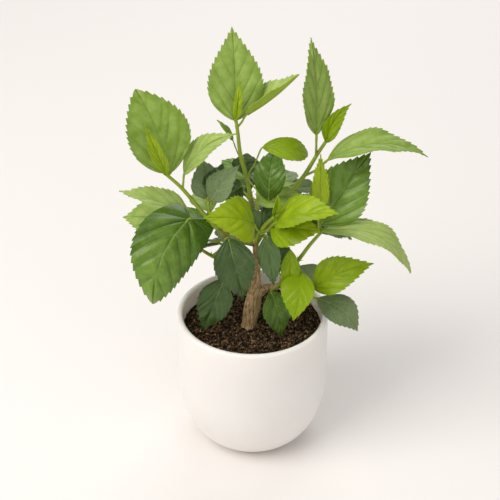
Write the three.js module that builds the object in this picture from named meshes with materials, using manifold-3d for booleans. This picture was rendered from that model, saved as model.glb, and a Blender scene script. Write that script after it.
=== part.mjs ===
// A small hibiscus shrub growing in a plain white pot.
// Millimetres, +Z up, origin at the middle of the pot's flat underside.
import * as THREE from "three";
import { mergeVertices } from "three/addons/utils/BufferGeometryUtils.js";
import Module from "manifold-3d";

const wasm = await Module();
wasm.setup();

// ---------------------------------------------------------------- driving dimensions

const clearance = 0.3; // between one piece and the next
const cleanEdge = 0.002; // shorter edges are merged away after a join

const pot = {
  radius: 60,
  height: 116,
  wall: 4.8,
  floor: 6,
  footRadius: 30, // the flat that it stands on
  shoulder: 56, // height at which the rounded bottom becomes the upright side
  sides: 36,
  curveSteps: 6,
  lipSteps: 4,
};

const soil = {
  level: 102.5, // flat patch that the trunk stands on
  patch: 13,
  rings: 3,
  sides: 20,
  swell: 1.6,
  waves: [9, 11], // size of the swells along x and y
  dip: 0.6, // share of the swell by which the rest lies lower
};

const trunk = {
  path: [[-3.2, -4.5, 96], [-2.6, -3.2, 108], [0.1, -1.5, 122], [2, -0.4, 134], [3.4, 0, 145]], // cut at the soil
  radii: [5.3, 5.5, 6.4, 5.5, 2.9], // foot, stem, the swelling under the fork
  sides: 10,
  steps: 10,
};

// Each bough is one tapering limb; it starts inside the limb that carries it and is cut clear of it.
const boughs = {
  bough_leader: { path: [[3.2, 0, 142], [3, 0, 160], [2, 0, 184]], radii: [2.7, 2.1], finish: "bark" },
  bough_low_right: { path: [[3, 0, 132], [12, -2, 139.3], [20, -4, 141.5]], radii: [3.1, 2.5], finish: "bark" },
  bough_left: { path: [[2, 0, 180], [-17, -5, 187], [-26, -6, 195]], radii: [2, 1.8], finish: "youngBark" },
  bough_centre: { path: [[2, 0, 183], [1, 1, 202], [-1, 2, 216]], radii: [2, 1.9], finish: "youngBark" },
  bough_right: { path: [[2, 0, 182], [10, 2, 191], [28, 6, 220]], radii: [2, 1.8], finish: "youngBark" },
};
const boughSides = 8;

const twig = { sides: 6, tip: 1.2, base: 1.8, stepLength: 6 };
const stalk = { sides: 3, radius: 0.8, sag: 0.08, steps: 3, sunk: 0.06 };

// Where a blade is widest, how full it is towards base and tip, and how far its lobes reach back.
const leafForms = {
  ovate: { widestAt: 0.36, baseFullness: 0.7, tipTaper: 1.2, lobe: 0 },
  broad: { widestAt: 0.44, baseFullness: 0.62, tipTaper: 0.85, lobe: 0 },
  heart: { widestAt: 0.36, baseFullness: 0.42, tipTaper: 0.8, lobe: 0.35 },
  blunt: { widestAt: 0.5, baseFullness: 0.6, tipTaper: 0.6, lobe: 0 },
};

const leafShape = {
  neck: 0.9, // width where the stalk enters
  point: 0.5, // width left at the very tip
  thickness: 1 / 75, // of the length
  leastThickness: 0.6,
  toothFrom: 0.3,
  toothDepth: 0.07,
  rowLength: 11,
  leastRows: 4,
};

// ---------------------------------------------------------------- shoots and their leaves
//
// Every mass is a list of stems, the first carried by a bough and the rest by the first.
// A leaf has: at, how far along its stem; stalk [length, heading, rise];
// blade [length, width]; aim [heading, rise, turn about its own midrib];
// bow [lift, sideways sweep] of the midrib; fold, the lift of each half; and its form, where
// it isn't ovate.
// Headings run anticlockwise from +X, in degrees.

const masses = {
  foliage_left: {
    stems: [
      {
        path: [[-26, -6, 195], [-35, -8, 208], [-53, -11, 235], [-63, -12, 246]],
        leaves: [
          { at: 1, stalk: [4, 42, -5], blade: [66, 46], aim: [142, 62, -40], bow: [4, -3], fold: 8, form: "broad" },
          { at: 1, stalk: [2, 295, 27], blade: [45, 12], aim: [199, 71, -105], bow: [2, 0], fold: 20 },
          { at: 0.73, stalk: [11, 67, 72], blade: [50, 20], aim: [3, 40, 35], bow: [4, 5], fold: 15 },
          { at: 0.15, stalk: [16, 162, -4], blade: [58, 27], aim: [171, 20, -10], bow: [5, 0], fold: 15 },
          { at: 0.06, stalk: [23, 201, 29], blade: [69, 52], aim: [233, -49, -45], bow: [13, -10], fold: -15, form: "heart" },
          { at: 0.16, stalk: [22, 152, -16], blade: [54, 34], aim: [160, -8, -40], bow: [4, 0], fold: 8 },
        ],
      },
      {
        path: [[-31, -7, 202], [-33, -5, 212], [-33, -4, 219]],
        leaves: [
          { at: 1, stalk: [3, 105, -11], blade: [31, 27], aim: [112, 63, -7], bow: [3, -2], fold: 10 },
          { at: 1, stalk: [4, 75, 14], blade: [27, 20], aim: [52, 55, 41], bow: [3, 0], fold: 8 },
          { at: 1, stalk: [3, 309, 30], blade: [36, 22], aim: [5, 53, 50], bow: [4, 0], fold: 12 },
        ],
      },
    ],
  },
  foliage_centre: {
    stems: [
      {
        path: [[-1, 2, 216], [-5, 3, 237], [-9, 3, 254], [-11, 2, 274], [-12, 1, 282]],
        leaves: [
          { at: 1, stalk: [1, 180, 63], blade: [67, 40], aim: [96, 69, -4], bow: [3, -1], fold: 6 },
          { at: 0.93, stalk: [12, 360, 57], blade: [49, 26], aim: [2, 40, 0], bow: [-2, 0], fold: 45 },
          { at: 1, stalk: [2, 264, 68], blade: [32, 7], aim: [317, 82, 130], bow: [1, 0], fold: 15 },
          { at: 0.5, stalk: [17, 152, 64], blade: [20, 7], aim: [174, 55, -20], bow: [1, 0], fold: 15 },
          { at: 0.45, stalk: [7, 87, 27], blade: [20, 15], aim: [57, -46, 138], bow: [2, 0], fold: 10 },
          { at: 0.3, stalk: [5, 99, -10], blade: [17, 22], aim: [84, 42, 6], bow: [2, 0], fold: 10 },
          { at: 0.3, stalk: [25, 317, -27], blade: [36, 24], aim: [75, 64, 4], bow: [13, -1], fold: 10, form: "blunt" },
          { at: 0.3, stalk: [26, 18, 61], blade: [36, 19], aim: [12, -16, 38], bow: [9, -3], fold: 8, form: "blunt" },
          { at: 0.17, stalk: [8, 131, -18], blade: [21, 22], aim: [158, -42, -79], bow: [2, 0], fold: 10 },
          { at: 0.07, stalk: [6, 323, -26], blade: [42, 17], aim: [342, 13, 40], bow: [3, 0], fold: 10 },
        ],
      },
    ],
  },
  foliage_right: {
    stems: [
      {
        path: [[28, 6, 220], [38, 8, 233], [48, 10, 251], [54, 11, 261]],
        leaves: [
          { at: 0.72, stalk: [19, 262, 83], blade: [72, 28], aim: [109, 77, 17], bow: [3, 0], fold: 10 },
          { at: 1, stalk: [1, 302, -48], blade: [36, 14], aim: [0, 62, 90], bow: [0, 4], fold: 20 },
          { at: 0.35, stalk: [23, 346, 42], blade: [74, 29], aim: [357, 4, 10], bow: [14, 0], fold: 15 },
          { at: 0.08, stalk: [8, 75, -30], blade: [20, 15], aim: [12, -8, 15], bow: [3, 0], fold: 10 },
        ],
      },
    ],
  },
  foliage_front: {
    stems: [
      {
        path: [[3, -1, 180], [5, -5, 190], [9, -13, 203], [16, -22, 216]],
        leaves: [
          { at: 0.35, stalk: [18, 246, 47], blade: [52, 35], aim: [219, 27, -50], bow: [7, 0], fold: 6 },
          { at: 0.35, stalk: [25, 305, 43], blade: [57, 33], aim: [330, 24, 22], bow: [5, 0], fold: 18 },
          { at: 0.25, stalk: [20, 305, 42], blade: [42, 32], aim: [332, 12, 45], bow: [4, 0], fold: 8 },
          { at: 1, stalk: [1, 249, 73], blade: [18, 8], aim: [0, 83, 114], bow: [1, 0], fold: 30 },
          { at: 0.15, stalk: [12, 313, 35], blade: [43, 18], aim: [318, -80, 56], bow: [3, 0], fold: 8 },
          { at: 0.3, stalk: [5, 269, 50], blade: [25, 22], aim: [178, 58, -75], bow: [2, 0], fold: 8 },
          { at: 0.3, stalk: [10, 41, 72], blade: [20, 13], aim: [350, 56, 60], bow: [2, 0], fold: 8 },
        ],
      },
    ],
  },
  foliage_low_left: {
    stems: [
      {
        path: [[3, 0, 156], [-14, -5, 163], [-30, -8, 172], [-40, -11, 181]],
        leaves: [
          { at: 1, stalk: [2, 127, 43], blade: [12, 12], aim: [66, 50, 22], bow: [1, 0], fold: 10 },
          { at: 0.75, stalk: [24, 337, 56], blade: [54, 32], aim: [328, -76, 51], bow: [3, 0], fold: 10 },
          { at: 0.48, stalk: [13, 244, -63], blade: [48, 27], aim: [199, -67, -61], bow: [4, 0], fold: 10 },
        ],
      },
    ],
  },
  foliage_low_right: {
    stems: [
      {
        path: [[20, -4, 141.5], [29, -5, 158], [36, -6, 169], [44, -6, 182], [52, -6, 193]],
        leaves: [
          { at: 1, stalk: [3, 304, 42], blade: [76, 26], aim: [355, -27, 12], bow: [19, 0], fold: 12, form: "broad" },
          { at: 0.48, stalk: [9, 287, -39], blade: [38, 29], aim: [256, -51, 11], bow: [6, 4], fold: 20 },
          { at: 0.48, stalk: [16, 226, 58], blade: [42, 15], aim: [270, -87, 0], bow: [2, 0], fold: 10 },
          { at: 0.43, stalk: [23, 326, -46], blade: [51, 28], aim: [0, 26, 50], bow: [9, 2], fold: 8 },
          { at: 0.43, stalk: [12, 71, -44], blade: [38, 24], aim: [45, -51, 102], bow: [4, 0], fold: 10 },
          { at: 0.97, stalk: [7, 77, 66], blade: [66, 44], aim: [26, 52, 48], bow: [2, 1], fold: 10 },
          { at: 0.95, stalk: [18, 242, 83], blade: [52, 14], aim: [180, 90, 70], bow: [2, 0], fold: 15 },
          { at: 0.15, stalk: [6, 140, 30], blade: [34, 26], aim: [110, 42, 0], bow: [3, 0], fold: 8 },
          { at: 0.03, stalk: [32, 357, -21], blade: [42, 24], aim: [345, -38, 60], bow: [12, 6], fold: 10 },
          { at: 0.1, stalk: [13, 224, -16], blade: [38, 27], aim: [310, -70, 5], bow: [3, 0], fold: 8 },
        ],
      },
    ],
  },
  foliage_back_left: {
    stems: [
      {
        path: [[2, 1, 162], [-12, 16, 166], [-24, 32, 170], [-32, 46, 174]],
        sprouts: { count: 8, seed: 11, from: 0.35, to: 1, toward: 130, spread: 75, rise: [-50, -5] },
        leaves: [],
      },
    ],
  },
  foliage_back_right: {
    stems: [
      {
        path: [[3, 1, 160], [13, 16, 168], [26, 38, 174], [36, 56, 178]],
        sprouts: { count: 7, seed: 5, from: 0.5, to: 1, toward: 65, spread: 85, rise: [-40, 5] },
        leaves: [],
      },
    ],
  },
  foliage_back_upper: {
    stems: [
      {
        path: [[2, 1, 181], [3, 12, 191], [4, 26, 198], [4, 40, 203]],
        sprouts: { count: 6, seed: 8, from: 0.6, to: 1, toward: 100, spread: 70, rise: [-18, 0] },
        leaves: [],
      },
    ],
  },
};

// Leaves that a stem grows by rule: spread round one heading by the golden ratio, older ones
// lower, longer and drooping more.
const sprout = {
  oldest: 58,
  youngest: 34,
  slimness: 0.58,
  stalk: 0.3, // of the leaf's length
  stalkRise: 15,
  arch: 9, // length over the lift of its bow
  fold: 10,
  jitter: 9,
  golden: 0.618,
};

// ---------------------------------------------------------------- helpers

const degrees = Math.PI / 180;

function direction(heading, rise) {
  const flat = Math.cos(rise * degrees);
  return new THREE.Vector3(
    flat * Math.cos(heading * degrees),
    flat * Math.sin(heading * degrees),
    Math.sin(rise * degrees),
  );
}

function curveThrough(points) {
  return new THREE.CatmullRomCurve3(points.map((p) => new THREE.Vector3(...p)), false, "centripetal");
}

function solidOf(geometry) {
  geometry.deleteAttribute("uv");
  geometry.deleteAttribute("normal");
  const merged = mergeVertices(geometry, 1e-4);
  const mesh = new wasm.Mesh({
    numProp: 3,
    vertProperties: new Float32Array(merged.attributes.position.array),
    triVerts: new Uint32Array(merged.index.array),
  });
  return new wasm.Manifold(mesh);
}

function geometryOf(solid) {
  const bodies = solid.decompose().sort((a, b) => b.volume() - a.volume());
  const mesh = bodies[0].simplify(cleanEdge).getMesh(); // a loose scrap is dropped
  const geometry = new THREE.BufferGeometry();
  geometry.setAttribute("position", new THREE.BufferAttribute(mesh.vertProperties, 3));
  geometry.setIndex(new THREE.BufferAttribute(mesh.triVerts, 1));
  geometry.computeVertexNormals();
  return geometry;
}

function radiusAlong(radii, t) {
  const place = t * (radii.length - 1);
  const first = Math.min(Math.floor(place), radii.length - 2);
  return THREE.MathUtils.lerp(radii[first], radii[first + 1], place - first);
}

// A closed cylinder bent along a curve, with its radius following a list of radii.
function limb(curve, radii, sides, steps, extra = 0) {
  const geometry = new THREE.CylinderGeometry(1, 1, 1, sides, steps);
  const frames = curve.computeFrenetFrames(steps);
  const position = geometry.attributes.position;
  const point = new THREE.Vector3();
  for (let i = 0; i < position.count; i += 1) {
    const t = position.getY(i) + 0.5;
    const row = Math.round(t * steps);
    const radius = radiusAlong(radii, t) + extra;
    curve.getPointAt(t, point);
    point.addScaledVector(frames.normals[row], position.getX(i) * radius);
    point.addScaledVector(frames.binormals[row], -position.getZ(i) * radius);
    position.setXYZ(i, point.x, point.y, point.z);
  }
  return solidOf(geometry);
}

// Share of the full half width at t, from 0 at the base of a leaf to 1 at its tip.
function fullness(t, { widestAt, baseFullness, tipTaper }) {
  const inner = t < widestAt;
  const angle = inner ? t / widestAt : 1 - (t - widestAt) / (1 - widestAt);
  return Math.max(Math.sin((angle * Math.PI) / 2), 0) ** (inner ? baseFullness : tipTaper);
}

function halfWidth(t, leaf, row, form) {
  const { neck, point, toothFrom, toothDepth } = leafShape;
  const tooth = t > toothFrom && t < 1 ? (row % 2 ? toothDepth : -toothDepth) : 0;
  const half = (leaf.blade[1] / 2) * fullness(t, form) * (1 + tooth);
  return Math.max(half, t < form.widestAt ? neck : point);
}

// The three directions of a blade: along its length, up from its face, and across it.
function bladeAxes(leaf) {
  const [heading, rise, turn] = leaf.aim;
  const along = direction(heading, rise);
  const up = direction(heading, rise + 90).applyAxisAngle(along, turn * degrees);
  return { along, up, side: new THREE.Vector3().crossVectors(up, along) };
}

// The bowed midrib at t, from 0 at the stalk to 1 at the tip.
function midrib(base, leaf, { along, up, side }, t) {
  const arch = 4 * t * (1 - t);
  return base
    .clone()
    .addScaledVector(along, t * leaf.blade[0])
    .addScaledVector(up, leaf.bow[0] * arch)
    .addScaledVector(side, leaf.bow[1] * arch);
}

// A thin box shaped into a folded, bowed blade; its teeth stand out at every other row.
function blade(base, leaf, extra = 0) {
  const length = leaf.blade[0];
  const form = leafForms[leaf.form ?? "ovate"];
  const rows = Math.max(Math.round(length / leafShape.rowLength), leafShape.leastRows);
  const thickness = Math.max(length * leafShape.thickness, leafShape.leastThickness) + extra * 2;
  const axes = bladeAxes(leaf);
  const geometry = new THREE.BoxGeometry(1, 1, 1, 2, 1, rows);
  const position = geometry.attributes.position;
  for (let i = 0; i < position.count; i += 1) {
    const t = position.getZ(i) + 0.5;
    const across = position.getX(i) * 2;
    const half = halfWidth(t, leaf, Math.round(t * rows), form) + extra;
    const back = form.lobe * length * fullness(t, form) * (1 - t) ** 3 * Math.abs(across);
    const lift = Math.abs(across) * half * Math.sin(leaf.fold * degrees);
    const point = midrib(base, leaf, axes, t);
    point.addScaledVector(axes.side, across * half * Math.cos(leaf.fold * degrees));
    point.addScaledVector(axes.up, lift + position.getY(i) * thickness);
    point.addScaledVector(axes.along, -back);
    position.setXYZ(i, point.x, point.y, point.z);
  }
  return solidOf(geometry);
}

// The stalk runs from inside the stem to just inside the blade.
function leafOn(stem, leaf, extra = 0) {
  const start = stem.getPointAt(leaf.at);
  const [length, heading, rise] = leaf.stalk;
  const base = start.clone().addScaledVector(direction(heading, rise), length);
  const inBlade = midrib(base, leaf, bladeAxes(leaf), stalk.sunk);
  const middle = start.clone().lerp(base, 0.5);
  middle.z -= length * stalk.sag;
  const curve = new THREE.CatmullRomCurve3([start, middle, base, inBlade], false, "centripetal");
  const stick = limb(curve, [stalk.radius, stalk.radius], stalk.sides, stalk.steps, extra);
  return stick.add(blade(base, leaf, extra));
}

function sproutsOf(rule) {
  const jitter = () => (THREE.MathUtils.seededRandom() * 2 - 1) * sprout.jitter;
  THREE.MathUtils.seededRandom(rule.seed);
  return Array.from({ length: rule.count }, (_, index) => {
    const t = index / (rule.count - 1);
    const swing = (((index + 1) * sprout.golden) % 1) * 2 - 1;
    const heading = rule.toward + rule.spread * swing + jitter();
    const rise = THREE.MathUtils.lerp(rule.rise[0], rule.rise[1], t) + jitter();
    const length = THREE.MathUtils.lerp(sprout.oldest, sprout.youngest, t) + jitter() / 2;
    return {
      at: THREE.MathUtils.lerp(rule.from, rule.to, t),
      stalk: [length * sprout.stalk, heading, rise / 2 + sprout.stalkRise],
      blade: [length, length * sprout.slimness],
      aim: [heading, rise, jitter() * 2],
      bow: [length / sprout.arch, 0],
      fold: sprout.fold,
    };
  });
}

function twigAlong(stem, extra = 0) {
  const steps = Math.max(Math.round(stem.getLength() / twig.stepLength), 3);
  return limb(stem, [twig.base, twig.tip], twig.sides, steps, extra);
}

// ---------------------------------------------------------------- pot and soil

function ellipseProfile(radius, foot, low, high, steps) {
  const points = [];
  for (let i = 0; i <= steps; i += 1) {
    const angle = (i / steps) * (Math.PI / 2);
    const x = foot + (radius - foot) * Math.sin(angle);
    const y = high - (high - low) * Math.cos(angle);
    points.push(new THREE.Vector2(x, y));
  }
  return points;
}

function turned(profile, sides) {
  return new THREE.LatheGeometry(profile, sides).rotateX(Math.PI / 2);
}

function potGeometry() {
  const inner = pot.radius - pot.wall;
  const outside = ellipseProfile(pot.radius, pot.footRadius, 0, pot.shoulder, pot.curveSteps);
  const inside = ellipseProfile(inner, pot.footRadius - pot.wall, pot.floor, pot.shoulder, pot.curveSteps);
  const lip = [];
  for (let i = 0; i <= pot.lipSteps; i += 1) {
    const angle = (i / pot.lipSteps) * Math.PI;
    const x = pot.radius - pot.wall / 2 + (Math.cos(angle) * pot.wall) / 2;
    const y = pot.height - pot.wall / 2 + (Math.sin(angle) * pot.wall) / 2;
    lip.push(new THREE.Vector2(x, y));
  }
  const onAxisLow = new THREE.Vector2(0, 0);
  const onAxisHigh = new THREE.Vector2(0, pot.floor);
  return turned([onAxisLow, ...outside, ...lip, ...inside.reverse(), onAxisHigh], pot.sides);
}

// Soil fills the pot up to a gently uneven top, level where the trunk stands.
function soilGeometry() {
  const inner = pot.radius - pot.wall - clearance;
  const foot = pot.footRadius - pot.wall;
  const profile = [new THREE.Vector2(0, pot.floor + clearance)];
  profile.push(...ellipseProfile(inner, foot, pot.floor + clearance, pot.shoulder, pot.curveSteps));
  for (let ring = 0; ring <= soil.rings; ring += 1) {
    const radius = THREE.MathUtils.lerp(inner, soil.patch, ring / soil.rings);
    profile.push(new THREE.Vector2(radius, soil.level));
  }
  profile.push(new THREE.Vector2(0, soil.level));
  const geometry = turned(profile, soil.sides);
  const position = geometry.attributes.position;
  for (let i = 0; i < position.count; i += 1) {
    const x = position.getX(i);
    const y = position.getY(i);
    const edge = THREE.MathUtils.smoothstep(Math.hypot(x, y), soil.patch, inner);
    if (position.getZ(i) > pot.shoulder + 1) {
      const wave = Math.sin(x / soil.waves[0]) * Math.cos(y / soil.waves[1]) - soil.dip;
      position.setZ(i, soil.level + edge * soil.swell * wave);
    }
  }
  return geometry;
}

// ---------------------------------------------------------------- assembly

const finishes = {
  ceramic: new THREE.MeshStandardMaterial({ color: 0xf3efea, roughness: 0.45 }),
  compost: new THREE.MeshStandardMaterial({ color: 0x2d2213, roughness: 1 }),
  bark: new THREE.MeshStandardMaterial({ color: 0xb59a72, roughness: 0.85 }),
  youngBark: new THREE.MeshStandardMaterial({ color: 0x7d8a45, roughness: 0.7 }),
  leaf: new THREE.MeshStandardMaterial({ color: 0x5f9140, roughness: 0.5 }),
};

const group = new THREE.Group();

function addPiece(name, geometry, finish) {
  const mesh = new THREE.Mesh(geometry, finish);
  mesh.name = name;
  group.add(mesh);
}

addPiece("pot", potGeometry(), finishes.ceramic);
addPiece("soil", soilGeometry(), finishes.compost);

const trunkCurve = curveThrough(trunk.path);
const belowTrunk = new THREE.BoxGeometry(pot.radius, pot.radius, pot.radius);
belowTrunk.translate(0, 0, soil.level + clearance - pot.radius / 2);
const trunkSolid = limb(trunkCurve, trunk.radii, trunk.sides, trunk.steps).subtract(solidOf(belowTrunk));
addPiece("trunk", geometryOf(trunkSolid), finishes.bark);

const joined = (solids) => solids.reduce((all, one) => all.add(one));
const fatLimbs = [limb(trunkCurve, trunk.radii, trunk.sides, trunk.steps, clearance)];

for (const [name, bough] of Object.entries(boughs)) {
  const curve = curveThrough(bough.path);
  const steps = Math.max(Math.round(curve.getLength() / twig.stepLength), 3);
  const grown = limb(curve, bough.radii, boughSides, steps).subtract(joined(fatLimbs));
  fatLimbs.push(limb(curve, bough.radii, boughSides, steps, clearance));
  addPiece(name, geometryOf(grown), finishes[bough.finish]);
}

// A leaf that would touch a limb or an earlier mass is left off.
const allLimbs = joined(fatLimbs);
const taken = [allLimbs];
for (const [name, mass] of Object.entries(masses)) {
  const solids = [];
  const fatSolids = [];
  for (const stem of mass.stems) {
    const curve = curveThrough(stem.path);
    solids.push(twigAlong(curve).subtract(allLimbs));
    fatSolids.push(twigAlong(curve, clearance));
    const leaves = [...stem.leaves, ...(stem.sprouts ? sproutsOf(stem.sprouts) : [])];
    for (const leaf of leaves) {
      const fatLeaf = leafOn(curve, leaf, clearance);
      if (taken.every((other) => fatLeaf.intersect(other).isEmpty())) {
        solids.push(leafOn(curve, leaf));
        fatSolids.push(fatLeaf);
      }
    }
  }
  taken.push(joined(fatSolids));
  addPiece(name, geometryOf(joined(solids)), finishes.leaf);
}

export default group;
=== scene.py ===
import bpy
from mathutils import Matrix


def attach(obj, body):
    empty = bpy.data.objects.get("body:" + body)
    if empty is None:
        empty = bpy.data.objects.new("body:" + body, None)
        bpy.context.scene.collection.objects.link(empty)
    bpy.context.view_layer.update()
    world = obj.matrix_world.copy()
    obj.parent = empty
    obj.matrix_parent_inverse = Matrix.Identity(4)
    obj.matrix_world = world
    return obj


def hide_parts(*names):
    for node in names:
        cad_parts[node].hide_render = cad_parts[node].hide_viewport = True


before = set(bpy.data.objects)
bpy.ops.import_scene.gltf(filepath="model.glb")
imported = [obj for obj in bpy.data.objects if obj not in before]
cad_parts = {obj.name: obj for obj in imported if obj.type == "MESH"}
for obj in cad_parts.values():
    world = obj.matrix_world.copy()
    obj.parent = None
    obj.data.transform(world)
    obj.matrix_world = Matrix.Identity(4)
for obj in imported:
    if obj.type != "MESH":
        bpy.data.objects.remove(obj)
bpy.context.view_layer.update()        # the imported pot, soil, trunk, boughs and masses of foliage

import math
import random

import bmesh
import bpy
import numpy as np
from mathutils import Quaternion, Vector, noise

# Sizes in this script are millimetres; a mesh is scaled to metres when its piece is finished.
mm = 0.001
scene = bpy.context.scene


# View and light

view = {
    "place": (-2, -814, 697),
    "pitch": 57.22,  # degrees, 0 looks straight down
    "lens": 90.72,
    "sensor": 36,
    "nearest": 0.05,  # metres
}

light = {
    "key": {"place": (-1150, -700, 1500), "size": 1300, "watts": 24, "tint": "#FFFBF7"},
    "fill": {"place": (900, -1500, 900), "size": 1600, "watts": 4, "tint": "#FFFFFF"},
    "top": {"place": (-250, -350, 1700), "size": 900, "watts": 3.5, "tint": "#FFFFFF"},
    "back": {"place": (300, 1500, 1300), "size": 1300, "watts": 10, "tint": "#FFFFFF"},
    "aim": (0, 0, 170),
    "sky": "#FCFAFA",
    "skyStrength": 0.52,
}


def linear(hexCode):
    # An sRGB hex colour as linear red, green, blue and alpha.
    channels = [int(hexCode[i:i + 2], 16) / 255 for i in (1, 3, 5)]
    return tuple(c / 12.92 if c <= 0.04045 else ((c + 0.055) / 1.055) ** 2.4 for c in channels) + (1,)


def placeView():
    camera = bpy.data.objects.new("viewCamera", bpy.data.cameras.new("viewCamera"))
    camera.location = Vector(view["place"]) * mm
    camera.rotation_euler = (math.radians(view["pitch"]), 0, 0)
    camera.data.lens = view["lens"]
    camera.data.sensor_width = view["sensor"]
    camera.data.clip_start = view["nearest"]
    scene.collection.objects.link(camera)
    scene.camera = camera


def placeLights():
    for name in ("key", "fill", "top", "back"):
        rule = light[name]
        lamp = bpy.data.objects.new(name + "Light", bpy.data.lights.new(name + "Light", "AREA"))
        lamp.data.size = rule["size"] * mm
        lamp.data.energy = rule["watts"]
        lamp.data.color = linear(rule["tint"])[:3]
        lamp.location = Vector(rule["place"]) * mm
        away = lamp.location - Vector(light["aim"]) * mm
        lamp.rotation_euler = away.to_track_quat("Z", "Y").to_euler()
        scene.collection.objects.link(lamp)
    world = bpy.data.worlds.new("paleRoom")
    world.use_nodes = True
    sky = world.node_tree.nodes["Background"]
    sky.inputs["Color"].default_value = linear(light["sky"])
    sky.inputs["Strength"].default_value = light["skyStrength"]
    scene.world = world


placeView()
placeLights()
scene.view_settings.view_transform = "Standard"
print("view and light set")


# Finishes

def perMetre(size):
    return 1 / (size * mm)  # a pattern's scale from the size of one of its repeats


def addNode(tree, kind, settings=None, inputs=None):
    node = tree.nodes.new("ShaderNode" + kind)
    for key, value in (settings or {}).items():
        setattr(node, key, value)
    for key, value in (inputs or {}).items():
        if isinstance(value, bpy.types.NodeSocket):
            tree.links.new(value, node.inputs[key])
        else:
            node.inputs[key].default_value = value
    return node


def newFinish(name, **sockets):
    material = bpy.data.materials.new(name)
    material.use_nodes = True
    tree = material.node_tree
    shader = tree.nodes["Principled BSDF"]
    for key, value in sockets.items():
        shader.inputs[key.replace("_", " ")].default_value = value
    return material, tree, shader


def satinCeramic():
    # Slip-cast stoneware under a white satin glaze: soft highlights and faint waves in the glaze.
    material, tree, shader = newFinish(
        "satinWhiteGlaze", Roughness=0.33, IOR=1.5, Specular_IOR_Level=0.5,
        Subsurface_Weight=0.6, Subsurface_Scale=7 * mm, Subsurface_Radius=(1, 0.85, 0.7),
    )
    where = addNode(tree, "TexCoord").outputs["Object"]
    cloud = addNode(tree, "TexNoise", {}, {"Vector": where, "Scale": perMetre(45), "Detail": 2.0})
    blend = addNode(tree, "Mix", {"data_type": "RGBA"}, {
        0: cloud.outputs["Fac"], 6: linear("#F0ECE8"), 7: linear("#EBE6E1"),
    })
    tree.links.new(blend.outputs[2], shader.inputs["Base Color"])
    wave = addNode(tree, "TexNoise", {}, {"Vector": where, "Scale": perMetre(7), "Detail": 3.0})
    bump = addNode(tree, "Bump", {}, {
        "Height": wave.outputs["Fac"], "Strength": 0.05, "Distance": 0.4 * mm,
    })
    tree.links.new(bump.outputs["Normal"], shader.inputs["Normal"])
    return material


def dampCompost(name, dark, brown, roughness, low=0.42, high=0.62):
    # Damp sieved potting compost: near-black crumbs with brown fibre in them.
    material, tree, shader = newFinish(name, Roughness=roughness, IOR=1.4, Specular_IOR_Level=0.35)
    where = addNode(tree, "TexCoord").outputs["Object"]
    grain = addNode(tree, "TexNoise", {}, {
        "Vector": where, "Scale": perMetre(2.4), "Detail": 5.0, "Roughness": 0.7,
    })
    spread = addNode(tree, "MapRange", {}, {
        "Value": grain.outputs["Fac"], "From Min": low, "From Max": high,
    })
    blend = addNode(tree, "Mix", {"data_type": "RGBA"}, {
        0: spread.outputs[0], 6: linear(dark), 7: linear(brown),
    })
    tree.links.new(blend.outputs[2], shader.inputs["Base Color"])
    bump = addNode(tree, "Bump", {}, {
        "Height": grain.outputs["Fac"], "Strength": 0.6, "Distance": 0.6 * mm,
    })
    tree.links.new(bump.outputs["Normal"], shader.inputs["Normal"])
    return material


def fibrousBark():
    # Thin dry bark of a woody stem: pale tan fibres along the stem with brown cracks between them.
    material, tree, shader = newFinish(
        "fibrousTanBark", Roughness=0.9, IOR=1.4, Specular_IOR_Level=0.15,
    )
    where = addNode(tree, "TexCoord").outputs["Object"]
    along = addNode(tree, "Mapping", {}, {"Vector": where, "Scale": (1.0, 1.0, 0.16)})
    fibre = addNode(tree, "TexNoise", {}, {
        "Vector": along.outputs[0], "Scale": perMetre(1.2), "Detail": 5.0, "Roughness": 0.75,
        "Distortion": 0.4,
    })
    patch = addNode(tree, "TexNoise", {}, {"Vector": where, "Scale": perMetre(8), "Detail": 2.0})
    crack = addNode(tree, "MapRange", {}, {
        "Value": fibre.outputs["Fac"], "From Min": 0.36, "From Max": 0.58,
    })
    pale = addNode(tree, "Mix", {"data_type": "RGBA"}, {
        0: patch.outputs["Fac"], 6: linear("#BE9A66"), 7: linear("#E6CCA0"),
    })
    blend = addNode(tree, "Mix", {"data_type": "RGBA"}, {
        0: crack.outputs[0], 6: linear("#745631"), 7: pale.outputs[2],
    })
    tree.links.new(blend.outputs[2], shader.inputs["Base Color"])
    bump = addNode(tree, "Bump", {}, {
        "Height": fibre.outputs["Fac"], "Strength": 0.7, "Distance": 0.5 * mm,
    })
    tree.links.new(bump.outputs["Normal"], shader.inputs["Normal"])
    return material


def youngShoot(name, green, brown, brownShare):
    # Soft green shoot skin with a brown bloom and faint lengthwise ribs.
    material, tree, shader = newFinish(name, Roughness=0.5, IOR=1.45, Specular_IOR_Level=0.45)
    where = addNode(tree, "TexCoord").outputs["Object"]
    bloom = addNode(tree, "TexNoise", {}, {"Vector": where, "Scale": perMetre(6), "Detail": 3.0})
    share = addNode(tree, "MapRange", {}, {
        "Value": bloom.outputs["Fac"], "From Min": 0.75 - brownShare, "From Max": 0.95 - brownShare,
    })
    blend = addNode(tree, "Mix", {"data_type": "RGBA"}, {
        0: share.outputs[0], 6: linear(green), 7: linear(brown),
    })
    tree.links.new(blend.outputs[2], shader.inputs["Base Color"])
    ribs = addNode(tree, "TexNoise", {}, {"Vector": where, "Scale": perMetre(0.9), "Detail": 2.0})
    bump = addNode(tree, "Bump", {}, {
        "Height": ribs.outputs["Fac"], "Strength": 0.25, "Distance": 0.2 * mm,
    })
    tree.links.new(bump.outputs["Normal"], shader.inputs["Normal"])
    return material


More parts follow.
